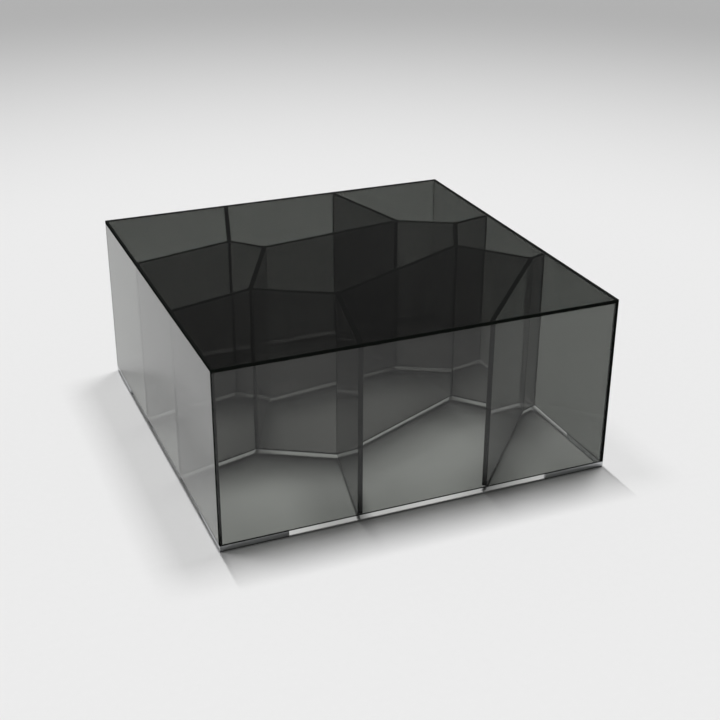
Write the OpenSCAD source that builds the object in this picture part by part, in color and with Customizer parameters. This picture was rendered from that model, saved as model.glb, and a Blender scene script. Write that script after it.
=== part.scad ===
// Low square table in smoked grey glass.
// A top pane and four outer walls form a box that is open underneath. Sixteen upright dividers
// run between them and split the inside into nine irregular cells. Four steel corner feet
// lift the glass clear of the floor.
// The origin is on the floor under the middle of the table, and the front faces -Y.

/* [Table] */
// Side of the square footprint
side = 1000; // [900:10:1200]
// Height from the floor to the upper face of the top
table_h = 455; // [300:5:600]

/* [Glass] */
// Thickness of the top pane
top_t = 8; // [6:1:15]
// Thickness of the four outer walls
wall_t = 8; // [6:1:15]
// Thickness of the inner dividers
divider_t = 12; // [6:1:15]

/* [Feet] */
// Height of a corner foot, its pad included
foot_h = 15; // [10:1:30]
// Length of each arm of a foot
foot_arm = 165; // [80:5:250]
// Width of the steel bar of a foot
foot_w = 8; // [6:1:15]
// Thickness of the felt pad under a foot
pad_t = 1.5; // [1:0.5:4]
// Distance from the faces of a foot to the edge of its pad
pad_inset = 1; // [0.5:0.5:2]

/* [Hidden] */

half = side / 2;
inner = half - wall_t;
glass_z0 = foot_h;
glass_z1 = table_h - top_t;
glass_h = glass_z1 - glass_z0;

glass_grey = [0.25, 0.27, 0.26, 0.6];
divider_grey = [0.16, 0.17, 0.17, 0.6];
steel = [0.72, 0.73, 0.74];
felt = [0.12, 0.12, 0.12];

// Places where three dividers meet, as shares of the side: the six corners of the middle
// cell, anticlockwise from the back left, then the forks towards the back and the front.
FORKS = [
    [-0.161, 0.150], [-0.283, -0.105], [-0.099, -0.211],
    [0.308, -0.025], [0.384, 0.131], [0.243, 0.208],
    [-0.232, 0.226], [0.444, -0.180]
];
fork_back = 6;
fork_front = 7;
// Places where a divider meets a wall, as the wall's inward direction and the share of the
// side along it: two on each wall, anticlockwise from the left wall's rear one.
WALL_ENDS = [
    [[1, 0], 0.160], [[1, 0], -0.163], [[0, 1], -0.158], [[0, 1], 0.166],
    [[-1, 0], -0.162], [[-1, 0], 0.154], [[0, -1], 0.169], [[0, -1], -0.158]
];
first_wall_end = len(FORKS);

function wall_point(inward, share) =
    -inner * inward + side * share * [abs(inward[1]), abs(inward[0])];
POINTS = concat([for (f = FORKS) side * f], [for (w = WALL_ENDS) wall_point(w[0], w[1])]);

// Ends of each divider's centre line, in the order in which NODES names the dividers.
LINKS = [
    [first_wall_end, fork_back], [first_wall_end + 1, 1], [first_wall_end + 2, 2],
    [first_wall_end + 3, fork_front], [first_wall_end + 4, fork_front],
    [first_wall_end + 5, 4], [first_wall_end + 6, 5], [first_wall_end + 7, fork_back],
    [0, 1], [1, 2], [2, 3], [3, 4], [4, 5], [5, 0],
    [0, fork_back], [3, fork_front]
];

function heading(a, b) = (POINTS[b] - POINTS[a]) / norm(POINTS[b] - POINTS[a]);
function left_of(v) = [-v[1], v[0]];
function cross2(u, v) = u[0] * v[1] - u[1] * v[0];
// Angle from u to v, anticlockwise, from 0 to 360
function turn(u, v) = (atan2(cross2(u, v), u * v) + 360) % 360;
// Headings of the other dividers that leave point a, when one leaves it for b
function others(a, b) = [
    for (k = LINKS, end = [0, 1]) if (k[end] == a && k[1 - end] != b) heading(a, k[1 - end])
];
// Corner between the facing sides of two dividers that leave point a along u and v,
// with v anticlockwise from u
function corner(a, u, v) = POINTS[a] + divider_t / 2 * (u + v) / cross2(u, v);

// A fork end is cut to a point, so that three dividers close on each other
function fork_end(a, u, pair) =
    let (order = turn(u, pair[0]) < turn(u, pair[1]) ? pair : [pair[1], pair[0]])
    [corner(a, u, order[0]), POINTS[a], corner(a, order[1], u)];
// A wall end is cut square, and one of its corners meets the wall
function wall_end(a, u) =
    let (inward = WALL_ENDS[a - first_wall_end][0])
    let (setback = divider_t / 2 * abs(cross2(u, inward)) / (u * inward))
    let (middle = POINTS[a] + setback * u)
    [middle + divider_t / 2 * left_of(u), middle - divider_t / 2 * left_of(u)];
function divider_end(a, b) =
    a < first_wall_end ? fork_end(a, heading(a, b), others(a, b)) : wall_end(a, heading(a, b));

module divider(index) {
    ends = LINKS[index];
    color(divider_grey)
        translate([0, 0, glass_z0])
            linear_extrude(height = glass_h)
                polygon(concat(divider_end(ends[0], ends[1]), divider_end(ends[1], ends[0])));
}

// Outer wall, turned from the front to another side. Its left end is flush with the corner and
// covers the end of the wall to its left; its right end stops at the wall to its right.
module wall(angle) {
    color(glass_grey)
        rotate([0, 0, angle])
            translate([0, 0, glass_z0])
                linear_extrude(height = glass_h)
                    polygon([[-half, -half], [inner, -half], [inner, -inner], [-half, -inner]]);
}

// Plan of an L, its outer corner at the front left of the table, drawn in from its bar
module corner_outline(inset) {
    difference() {
        translate([-half + inset, -half + inset])
            square(foot_arm - 2 * inset);
        translate([-half + foot_w - inset, -half + foot_w - inset])
            square(foot_arm);
    }
}

module foot(angle) {
    color(steel)
        rotate([0, 0, angle])
            translate([0, 0, pad_t])
                linear_extrude(height = foot_h - pad_t)
                    corner_outline(0);
}

module pad(angle) {
    color(felt)
        rotate([0, 0, angle])
            linear_extrude(height = pad_t)
                corner_outline(pad_inset);
}

module top_pane() {
    color(glass_grey)
        translate([-half, -half, glass_z1])
            cube([side, side, top_t]);
}

module front_wall() wall(0);
module right_wall() wall(90);
module back_wall() wall(180);
module left_wall() wall(270);

module left_rear_divider() divider(0);
module left_front_divider() divider(1);
module front_left_divider() divider(2);
module front_right_divider() divider(3);
module right_front_divider() divider(4);
module right_rear_divider() divider(5);
module back_right_divider() divider(6);
module back_left_divider() divider(7);
module core_left_divider() divider(8);
module core_front_left_divider() divider(9);
module core_front_right_divider() divider(10);
module core_right_divider() divider(11);
module core_back_right_divider() divider(12);
module core_back_left_divider() divider(13);
module rear_link_divider() divider(14);
module front_link_divider() divider(15);

module front_left_foot() foot(0);
module front_right_foot() foot(90);
module back_right_foot() foot(180);
module back_left_foot() foot(270);

module front_left_pad() pad(0);
module front_right_pad() pad(90);
module back_right_pad() pad(180);
module back_left_pad() pad(270);

top_pane();
front_wall();
back_wall();
left_wall();
right_wall();
left_rear_divider();
left_front_divider();
front_left_divider();
front_right_divider();
right_front_divider();
right_rear_divider();
back_right_divider();
back_left_divider();
core_left_divider();
core_front_left_divider();
core_front_right_divider();
core_right_divider();
core_back_right_divider();
core_back_left_divider();
rear_link_divider();
front_link_divider();
front_left_foot();
front_right_foot();
back_left_foot();
back_right_foot();
front_left_pad();
front_right_pad();
back_left_pad();
back_right_pad();
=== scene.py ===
"""Low square table in smoked grey glass, on a pale studio floor.

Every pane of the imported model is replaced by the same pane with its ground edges: fine chamfers,
clear faces and near-black edges. The steel feet and their felt pads get rounded shapes as well.
"""

import math

import bmesh
import bpy
from mathutils import Matrix, Quaternion, Vector


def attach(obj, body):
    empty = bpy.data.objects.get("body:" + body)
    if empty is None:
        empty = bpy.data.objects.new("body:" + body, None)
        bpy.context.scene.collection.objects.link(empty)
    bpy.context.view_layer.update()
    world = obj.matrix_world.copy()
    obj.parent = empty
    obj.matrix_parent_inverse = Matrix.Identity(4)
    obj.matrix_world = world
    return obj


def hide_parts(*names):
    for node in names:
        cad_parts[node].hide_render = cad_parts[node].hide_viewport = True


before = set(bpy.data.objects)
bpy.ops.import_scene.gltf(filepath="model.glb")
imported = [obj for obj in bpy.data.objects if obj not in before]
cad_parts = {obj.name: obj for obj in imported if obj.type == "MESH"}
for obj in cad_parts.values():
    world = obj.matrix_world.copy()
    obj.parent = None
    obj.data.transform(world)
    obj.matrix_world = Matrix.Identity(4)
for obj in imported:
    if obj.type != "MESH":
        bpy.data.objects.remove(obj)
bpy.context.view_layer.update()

# Sizes in metres
BOND = 0.00015  # film of adhesive between two panes
ARRIS = 0.0004  # chamfer ground along every edge of a pane
FOOT_ROUND = 0.0006  # rounding of a steel foot's edges
PAD_ROUND = 0.0004  # rounding of a felt pad's edges
WELD = 1e-6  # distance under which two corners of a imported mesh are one
CEILING = 100.0  # height of the lamps, so high that their light falls nearly parallel
FLOOR_PAINTED_SHADE_FROM = 1.7  # distance from the middle at which painted shade starts to darken the floor, in place of the lamps' light falling off
FLOOR_PAINTED_SHADE_TO = 6.2  # distance at which the painted shade is darkest

# Glass: shares of the light, as red, green and blue
OUTER_TINT = (0.382, 0.394, 0.376)  # passed by the top pane or an outer wall
OUTER_LAMP = (0.815, 0.82, 0.81)  # of the lamps' light, passed by each face of those
DIVIDER_TINT = (0.31, 0.305, 0.302)  # passed by a divider
DIVIDER_LAMP = (0.48, 0.48, 0.48)  # of the lamps' light, passed by each face of a divider
SLANT_TINT = 0.45  # share of a pane's tint left to a ray that only grazes it
GLASS_IOR = 1.52  # refractive index of float glass

OUTER = ["top_pane", "front_wall", "back_wall", "left_wall", "right_wall"]
DIVIDERS = sorted(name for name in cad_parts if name.endswith("_divider"))
FEET = sorted(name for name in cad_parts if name.endswith("_foot"))
PADS = sorted(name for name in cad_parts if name.endswith("_pad"))


# ---------------------------------------------------------------- node helpers

def new_material(name):
    """An empty node material and its output node."""
    material = bpy.data.materials.new(name)
    material.use_nodes = True
    tree = material.node_tree
    tree.nodes.clear()
    return material, tree, tree.nodes.new("ShaderNodeOutputMaterial")


def node(tree, kind, inputs=None, **settings):
    """A node of that kind. A value in inputs is a number, a colour or another node's output."""
    made = tree.nodes.new(kind)
    for name, value in settings.items():
        setattr(made, name, value)
    for name, value in (inputs or {}).items():
        if isinstance(value, bpy.types.NodeSocket):
            tree.links.new(value, made.inputs[name])
        else:
            made.inputs[name].default_value = value
    return made


def noise(tree, place, scale, detail=3.0, roughness=0.5):
    """Noise from 0 to 1, with scale cells to the metre."""
    inputs = {"Vector": place, "Scale": scale, "Detail": detail, "Roughness": roughness}
    return node(tree, "ShaderNodeTexNoise", inputs).outputs["Fac"]


def spread(tree, value, low, high, to_low, to_high):
    """Value mapped from low..high to to_low..to_high, held at both ends."""
    inputs = {"Value": value, "From Min": low, "From Max": high,
              "To Min": to_low, "To Max": to_high}
    return node(tree, "ShaderNodeMapRange", inputs).outputs["Result"]


def mixed(tree, factor, first, second):
    """One colour blended into another."""
    made = node(tree, "ShaderNodeMix", data_type="RGBA")
    wanted = ((made.inputs[0], factor), (made.inputs[6], first), (made.inputs[7], second))
    for socket, value in wanted:
        if isinstance(value, bpy.types.NodeSocket):
            tree.links.new(value, socket)
        else:
            socket.default_value = value
    return made.outputs[2]


def shade(colour, amount):
    """A colour made darker or lighter, with full alpha."""
    return (*(part * amount for part in colour), 1.0)


# ------------------------------------------------------------------- materials

def smoked_glass(name, tint, lamp_tint):
    """Smoked float glass. tint is the share that a pane passes, and lamp_tint the share of
    lamplight that each of its faces lets straight through. Both sink at a slant, as the way through
    the glass grows longer and its faces turn more of the light away."""
    material, tree, output = new_material(name)
    place = node(tree, "ShaderNodeTexCoord").outputs["Object"]
    clouds = noise(tree, place, 3.0)
    smudges = spread(tree, noise(tree, place, 9.0, 6.0, 0.62), 0.48, 0.75, 0.0, 1.0)
    waves = noise(tree, place, 5.0, 1.0)
    facing = node(tree, "ShaderNodeLayerWeight", {"Blend": 0.5}).outputs["Facing"]
    straight = mixed(tree, clouds, shade(tint, 0.97), shade(tint, 1.03))
    glass = node(tree, "ShaderNodeBsdfPrincipled", {
        "Base Color": mixed(tree, facing, straight, shade(tint, SLANT_TINT)),
        "Roughness": spread(tree, smudges, 0.0, 1.0, 0.0, 0.002),
        "IOR": GLASS_IOR,
        "Specular Tint": (0.64, 0.64, 0.64, 1.0),
        "Transmission Weight": 1.0,
        "Normal": node(tree, "ShaderNodeBump", {
            "Height": waves, "Strength": 0.02, "Distance": 0.001}).outputs["Normal"],
    })
    turned_away = node(tree, "ShaderNodeLayerWeight", {"Blend": 0.21}).outputs["Facing"]
    passed = mixed(tree, turned_away, shade(lamp_tint, 1.0), shade(lamp_tint, 0.0))
    see_through = node(tree, "ShaderNodeBsdfTransparent", {"Color": passed}).outputs["BSDF"]
    path = node(tree, "ShaderNodeLightPath")
    surface = glass.outputs["BSDF"]
    for ray in ("Is Shadow Ray", "Is Diffuse Ray"):
        mix = node(tree, "ShaderNodeMixShader", {"Fac": path.outputs[ray]})
        tree.links.new(surface, mix.inputs[1])
        tree.links.new(see_through, mix.inputs[2])
        surface = mix.outputs["Shader"]
    tree.links.new(surface, output.inputs["Surface"])
    return material


def polished_edge():
    """The ground and polished edge of smoked glass, where its tint looks nearly black."""
    material, tree, output = new_material("smoked_glass_edge")
    place = node(tree, "ShaderNodeTexCoord").outputs["Object"]
    depth = noise(tree, place, 40.0, 4.0)
    grinding = noise(tree, place, 900.0, 2.0)
    edge = node(tree, "ShaderNodeBsdfPrincipled", {
        "Base Color": mixed(tree, depth, (0.004, 0.005, 0.0045, 1), (0.012, 0.014, 0.012, 1)),
        "Roughness": spread(tree, grinding, 0.3, 0.7, 0.28, 0.40),
        "IOR": GLASS_IOR,
        "Specular IOR Level": 0.0,
        "Normal": node(tree, "ShaderNodeBump", {
            "Height": grinding, "Strength": 0.08, "Distance": 0.0002}).outputs["Normal"],
    })
    tree.links.new(edge.outputs["BSDF"], output.inputs["Surface"])
    return material


def foot_steel():
    """Mirror-polished stainless steel with faint polishing lines and finger marks."""
    material, tree, output = new_material("polished_steel")
    place = node(tree, "ShaderNodeTexCoord").outputs["Object"]
    marks = spread(tree, noise(tree, place, 35.0, 5.0, 0.6), 0.5, 0.75, 0.0, 1.0)
    stretched = node(tree, "ShaderNodeMapping", {"Vector": place, "Scale": (40.0, 40.0, 1400.0)})
    lines = noise(tree, stretched.outputs["Vector"], 1.0, 2.0)
    steel = node(tree, "ShaderNodeBsdfPrincipled", {
        "Base Color": mixed(tree, marks, (0.50, 0.51, 0.52, 1), (0.43, 0.44, 0.44, 1)),
        "Metallic": 1.0,
        "Roughness": spread(tree, marks, 0.0, 1.0, 0.09, 0.20),
        "Normal": node(tree, "ShaderNodeBump", {
            "Height": lines, "Strength": 0.06, "Distance": 0.0002}).outputs["Normal"],
    })
    tree.links.new(steel.outputs["BSDF"], output.inputs["Surface"])
    return material


def pad_felt():
    """Dense black felt."""
    material, tree, output = new_material("black_felt")
    place = node(tree, "ShaderNodeTexCoord").outputs["Object"]
    fibres = noise(tree, place, 1500.0, 4.0, 0.7)
    felt = node(tree, "ShaderNodeBsdfPrincipled", {
        "Base Color": mixed(tree, fibres, (0.010, 0.010, 0.010, 1), (0.050, 0.050, 0.048, 1)),
        "Roughness": 0.95,
        "Sheen Weight": 0.3,
        "Normal": node(tree, "ShaderNodeBump", {
            "Height": fibres, "Strength": 0.6, "Distance": 0.0003}).outputs["Normal"],
    })
    tree.links.new(felt.outputs["BSDF"], output.inputs["Surface"])
    return material


# -------------------------------------------------------------------- geometry

def solid_of(name):
    """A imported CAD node's own shape, with its triangles joined into whole flat faces."""
    solid = bmesh.new()
    solid.from_mesh(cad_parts[name].data)
    for face in solid.faces:
        face.smooth = False
    bmesh.ops.remove_doubles(solid, verts=solid.verts, dist=WELD)
    bmesh.ops.dissolve_limit(solid, angle_limit=math.radians(0.5), verts=solid.verts,
                             edges=solid.edges)
    bmesh.ops.recalc_face_normals(solid, faces=solid.faces)
    return solid


def clear_faces(solid):
    """The two broad faces of a pane."""
    return sorted(solid.faces, key=lambda face: face.calc_area())[-2:]


def draw_in(solid, kept, depth):
    """Moves every face but those in kept inwards by depth."""
    moved = {}
    for vertex in solid.verts:
        faces = list(vertex.link_faces)[:3]
        planes = Matrix([face.normal for face in faces])
        steps = Vector([0.0 if face in kept else -depth for face in faces])
        moved[vertex] = planes.inverted() @ steps
    for vertex, step in moved.items():
        vertex.co += step


def bevel_all(solid, width, segments, material=-1):
    """Bevels every edge. The bevel's faces take the numbered material, or their neighbours'."""
    bmesh.ops.bevel(solid, geom=list(solid.edges), offset=width, segments=segments,
                    affect="EDGES", profile=0.5, material=material, clamp_overlap=True)


def finished(solid, name, stands_for, materials):
    """Makes the piece from its solid, with its shading taken from its own faces, and says what it
    rides on and stands for."""
    mesh = bpy.data.meshes.new(name)
    solid.to_mesh(mesh)
    solid.free()
    brought_normals = mesh.attributes.get("custom_normal")
    if brought_normals:
        mesh.attributes.remove(brought_normals)
    for material in materials:
        mesh.materials.append(material)
    piece = bpy.data.objects.new(name, mesh)
    bpy.context.scene.collection.objects.link(piece)
    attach(piece, "root")
    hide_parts(stands_for)
    return piece


def glass_pane(name, glass, edge):
    """A pane with clear faces, dark edges and a fine chamfer all round."""
    solid = solid_of(name)
    clear = clear_faces(solid)
    for face in solid.faces:
        face.material_index = 0 if face in clear else 1
    if name != "top_pane":
        draw_in(solid, clear, BOND)
    bevel_all(solid, ARRIS, 1, material=1)
    return finished(solid, name + "_glass", name, [glass, edge])


def steel_foot(name, steel):
    """An L-shaped bar with its edges rounded over."""
    solid = solid_of(name)
    bevel_all(solid, FOOT_ROUND, 3)
    piece = finished(solid, name + "_bar", name, [steel])
    for face in piece.data.polygons:
        face.use_smooth = True
    return piece


def felt_pad(name, felt):
    """A thin pad whose cut sides bulge a little under the weight."""
    solid = solid_of(name)
    bevel_all(solid, PAD_ROUND, 2)
    return finished(solid, name + "_felt", name, [felt])


# ----------------------------------------------------------------------- stage

def floor():
    """A wide pale floor, with painted shade that makes it a little darker far from the table, where
    it rises into a low rim. The painted shade stands in for the lamps' light falling off.
    """
    flat, rim, rise = 9.0, 12.0, 0.9
    rings, turns = 48, 96
    sweep = bmesh.new()
    rows = []
    for ring in range(rings + 1):
        radius = rim * ring / rings
        lift = max(0.0, radius - flat) / (rim - flat)
        height = rise * lift * lift
        rows.append([
            sweep.verts.new((radius * math.cos(angle), radius * math.sin(angle), height))
            for angle in (2 * math.pi * turn / turns for turn in range(turns))
        ] if ring else [sweep.verts.new((0, 0, 0))] * turns)
    for inside, outside in zip(rows, rows[1:]):
        for turn in range(turns):
            after = (turn + 1) % turns
            corners = [inside[turn], outside[turn], outside[after], inside[after]]
            sweep.faces.new(list(dict.fromkeys(corners)))
    mesh = bpy.data.meshes.new("floor")
    bmesh.ops.recalc_face_normals(sweep, faces=sweep.faces)
    sweep.to_mesh(mesh)
    sweep.free()
    for face in mesh.polygons:
        face.use_smooth = True
    material, tree, output = new_material("pale_floor")
    place = node(tree, "ShaderNodeTexCoord").outputs["Object"]
    grain = noise(tree, place, 60.0, 4.0)
    reach = node(tree, "ShaderNodeVectorMath", {0: place}, operation="LENGTH").outputs["Value"]
    # Painted shade: the paint darkens with distance from the middle, standing in for the fall-off
    # of the lamps' light.
    painted_falloff = node(tree, "ShaderNodeMapRange", {
        "Value": reach, "From Min": FLOOR_PAINTED_SHADE_FROM, "From Max": FLOOR_PAINTED_SHADE_TO},
        interpolation_type="SMOOTHSTEP")
    near = mixed(tree, grain, (0.79, 0.79, 0.79, 1), (0.81, 0.81, 0.81, 1))
    paint = node(tree, "ShaderNodeBsdfPrincipled", {
        "Base Color": mixed(tree, painted_falloff.outputs["Result"], near, (0.42, 0.42, 0.42, 1)),
        "Roughness": 0.7,
        "Specular IOR Level": 0.2,
    })
    tree.links.new(paint.outputs["BSDF"], output.inputs["Surface"])
    mesh.materials.append(material)
    made = bpy.data.objects.new("floor", mesh)
    bpy.context.scene.collection.objects.link(made)


def soft_box(name, place, width, length, power):
    """A soft box on the high ceiling, long side front to back, turned towards the table. It isn't
    seen in reflections."""
    lamp = bpy.data.lights.new(name, "AREA")
    lamp.shape = "RECTANGLE"
    lamp.size = width
    lamp.size_y = length
    lamp.energy = power
    made = bpy.data.objects.new(name, lamp)
    made.location = (*place, CEILING)
    reach = -Vector(made.location)
    made.rotation_euler = (math.asin(reach.y / reach.length), math.atan2(-reach.x, -reach.z), 0.0)
    made.visible_glossy = False
    made.visible_transmission = False
    bpy.context.scene.collection.objects.link(made)


def surroundings():
    """A dim room: pale at the horizon and dark overhead."""
    world = bpy.data.worlds.new("room")
    world.use_nodes = True
    tree = world.node_tree
    tree.nodes.clear()
    up = node(tree, "ShaderNodeTexCoord").outputs["Generated"]
    height = node(tree, "ShaderNodeSeparateXYZ", {"Vector": up}).outputs["Z"]
    fade = spread(tree, height, 0.02, 0.22, 0.0, 1.0)
    colour = mixed(tree, fade, (0.42, 0.42, 0.42, 1), (0.06, 0.06, 0.06, 1))
    back = node(tree, "ShaderNodeBackground", {"Color": colour, "Strength": 1.0})
    output = node(tree, "ShaderNodeOutputWorld")
    tree.links.new(back.outputs["Background"], output.inputs["Surface"])
    bpy.context.scene.world = world


def camera():
    """The view of the photograph: from the front left, looking down on the table."""
    azimuth, elevation, roll = math.radians(22.836), math.radians(25.686), math.radians(0.327)
    aim, distance = Vector((0.0124, -0.0847, 0.2)), 3.3066
    away = Vector((
        -math.sin(azimuth) * math.cos(elevation),
        -math.cos(azimuth) * math.cos(elevation),
        math.sin(elevation),
    ))
    lens = bpy.data.cameras.new("camera")
    lens.sensor_width = 36.0
    lens.lens = 64.056
    lens.clip_end = 100.0
    made = bpy.data.objects.new("camera", lens)
    made.location = aim + distance * away
    turned = (-away).to_track_quat("-Z", "Y") @ Quaternion((0.0, 0.0, 1.0), roll)
    made.rotation_euler = turned.to_euler()
    bpy.context.scene.collection.objects.link(made)
    bpy.context.scene.camera = made


# ------------------------------------------------------------------ the object

outer_glass = smoked_glass("smoked_glass_outer", OUTER_TINT, OUTER_LAMP)
divider_glass = smoked_glass("smoked_glass_divider", DIVIDER_TINT, DIVIDER_LAMP)
edge = polished_edge()
steel = foot_steel()
felt = pad_felt()

for name in OUTER:
    glass_pane(name, outer_glass, edge)
for name in DIVIDERS:
    glass_pane(name, divider_glass, edge)
for name in FEET:
    steel_foot(name, steel)
for name in PADS:
    felt_pad(name, felt)

floor()
soft_box("middle_lamp", (0.0, 17.3), 1.0, 33.4, 6.0e4)
soft_box("right_lamp", (28.3, 17.5), 20.0, 28.0, 3.7e4)
soft_box("left_lamp", (-26.6, 23.2), 20.0, 20.3, 1.5e4)
surroundings()
camera()

scene = bpy.context.scene
scene.view_settings.view_transform = "Standard"
scene.cycles.max_bounces = 32
scene.cycles.transmission_bounces = 24
scene.cycles.transparent_max_bounces = 32
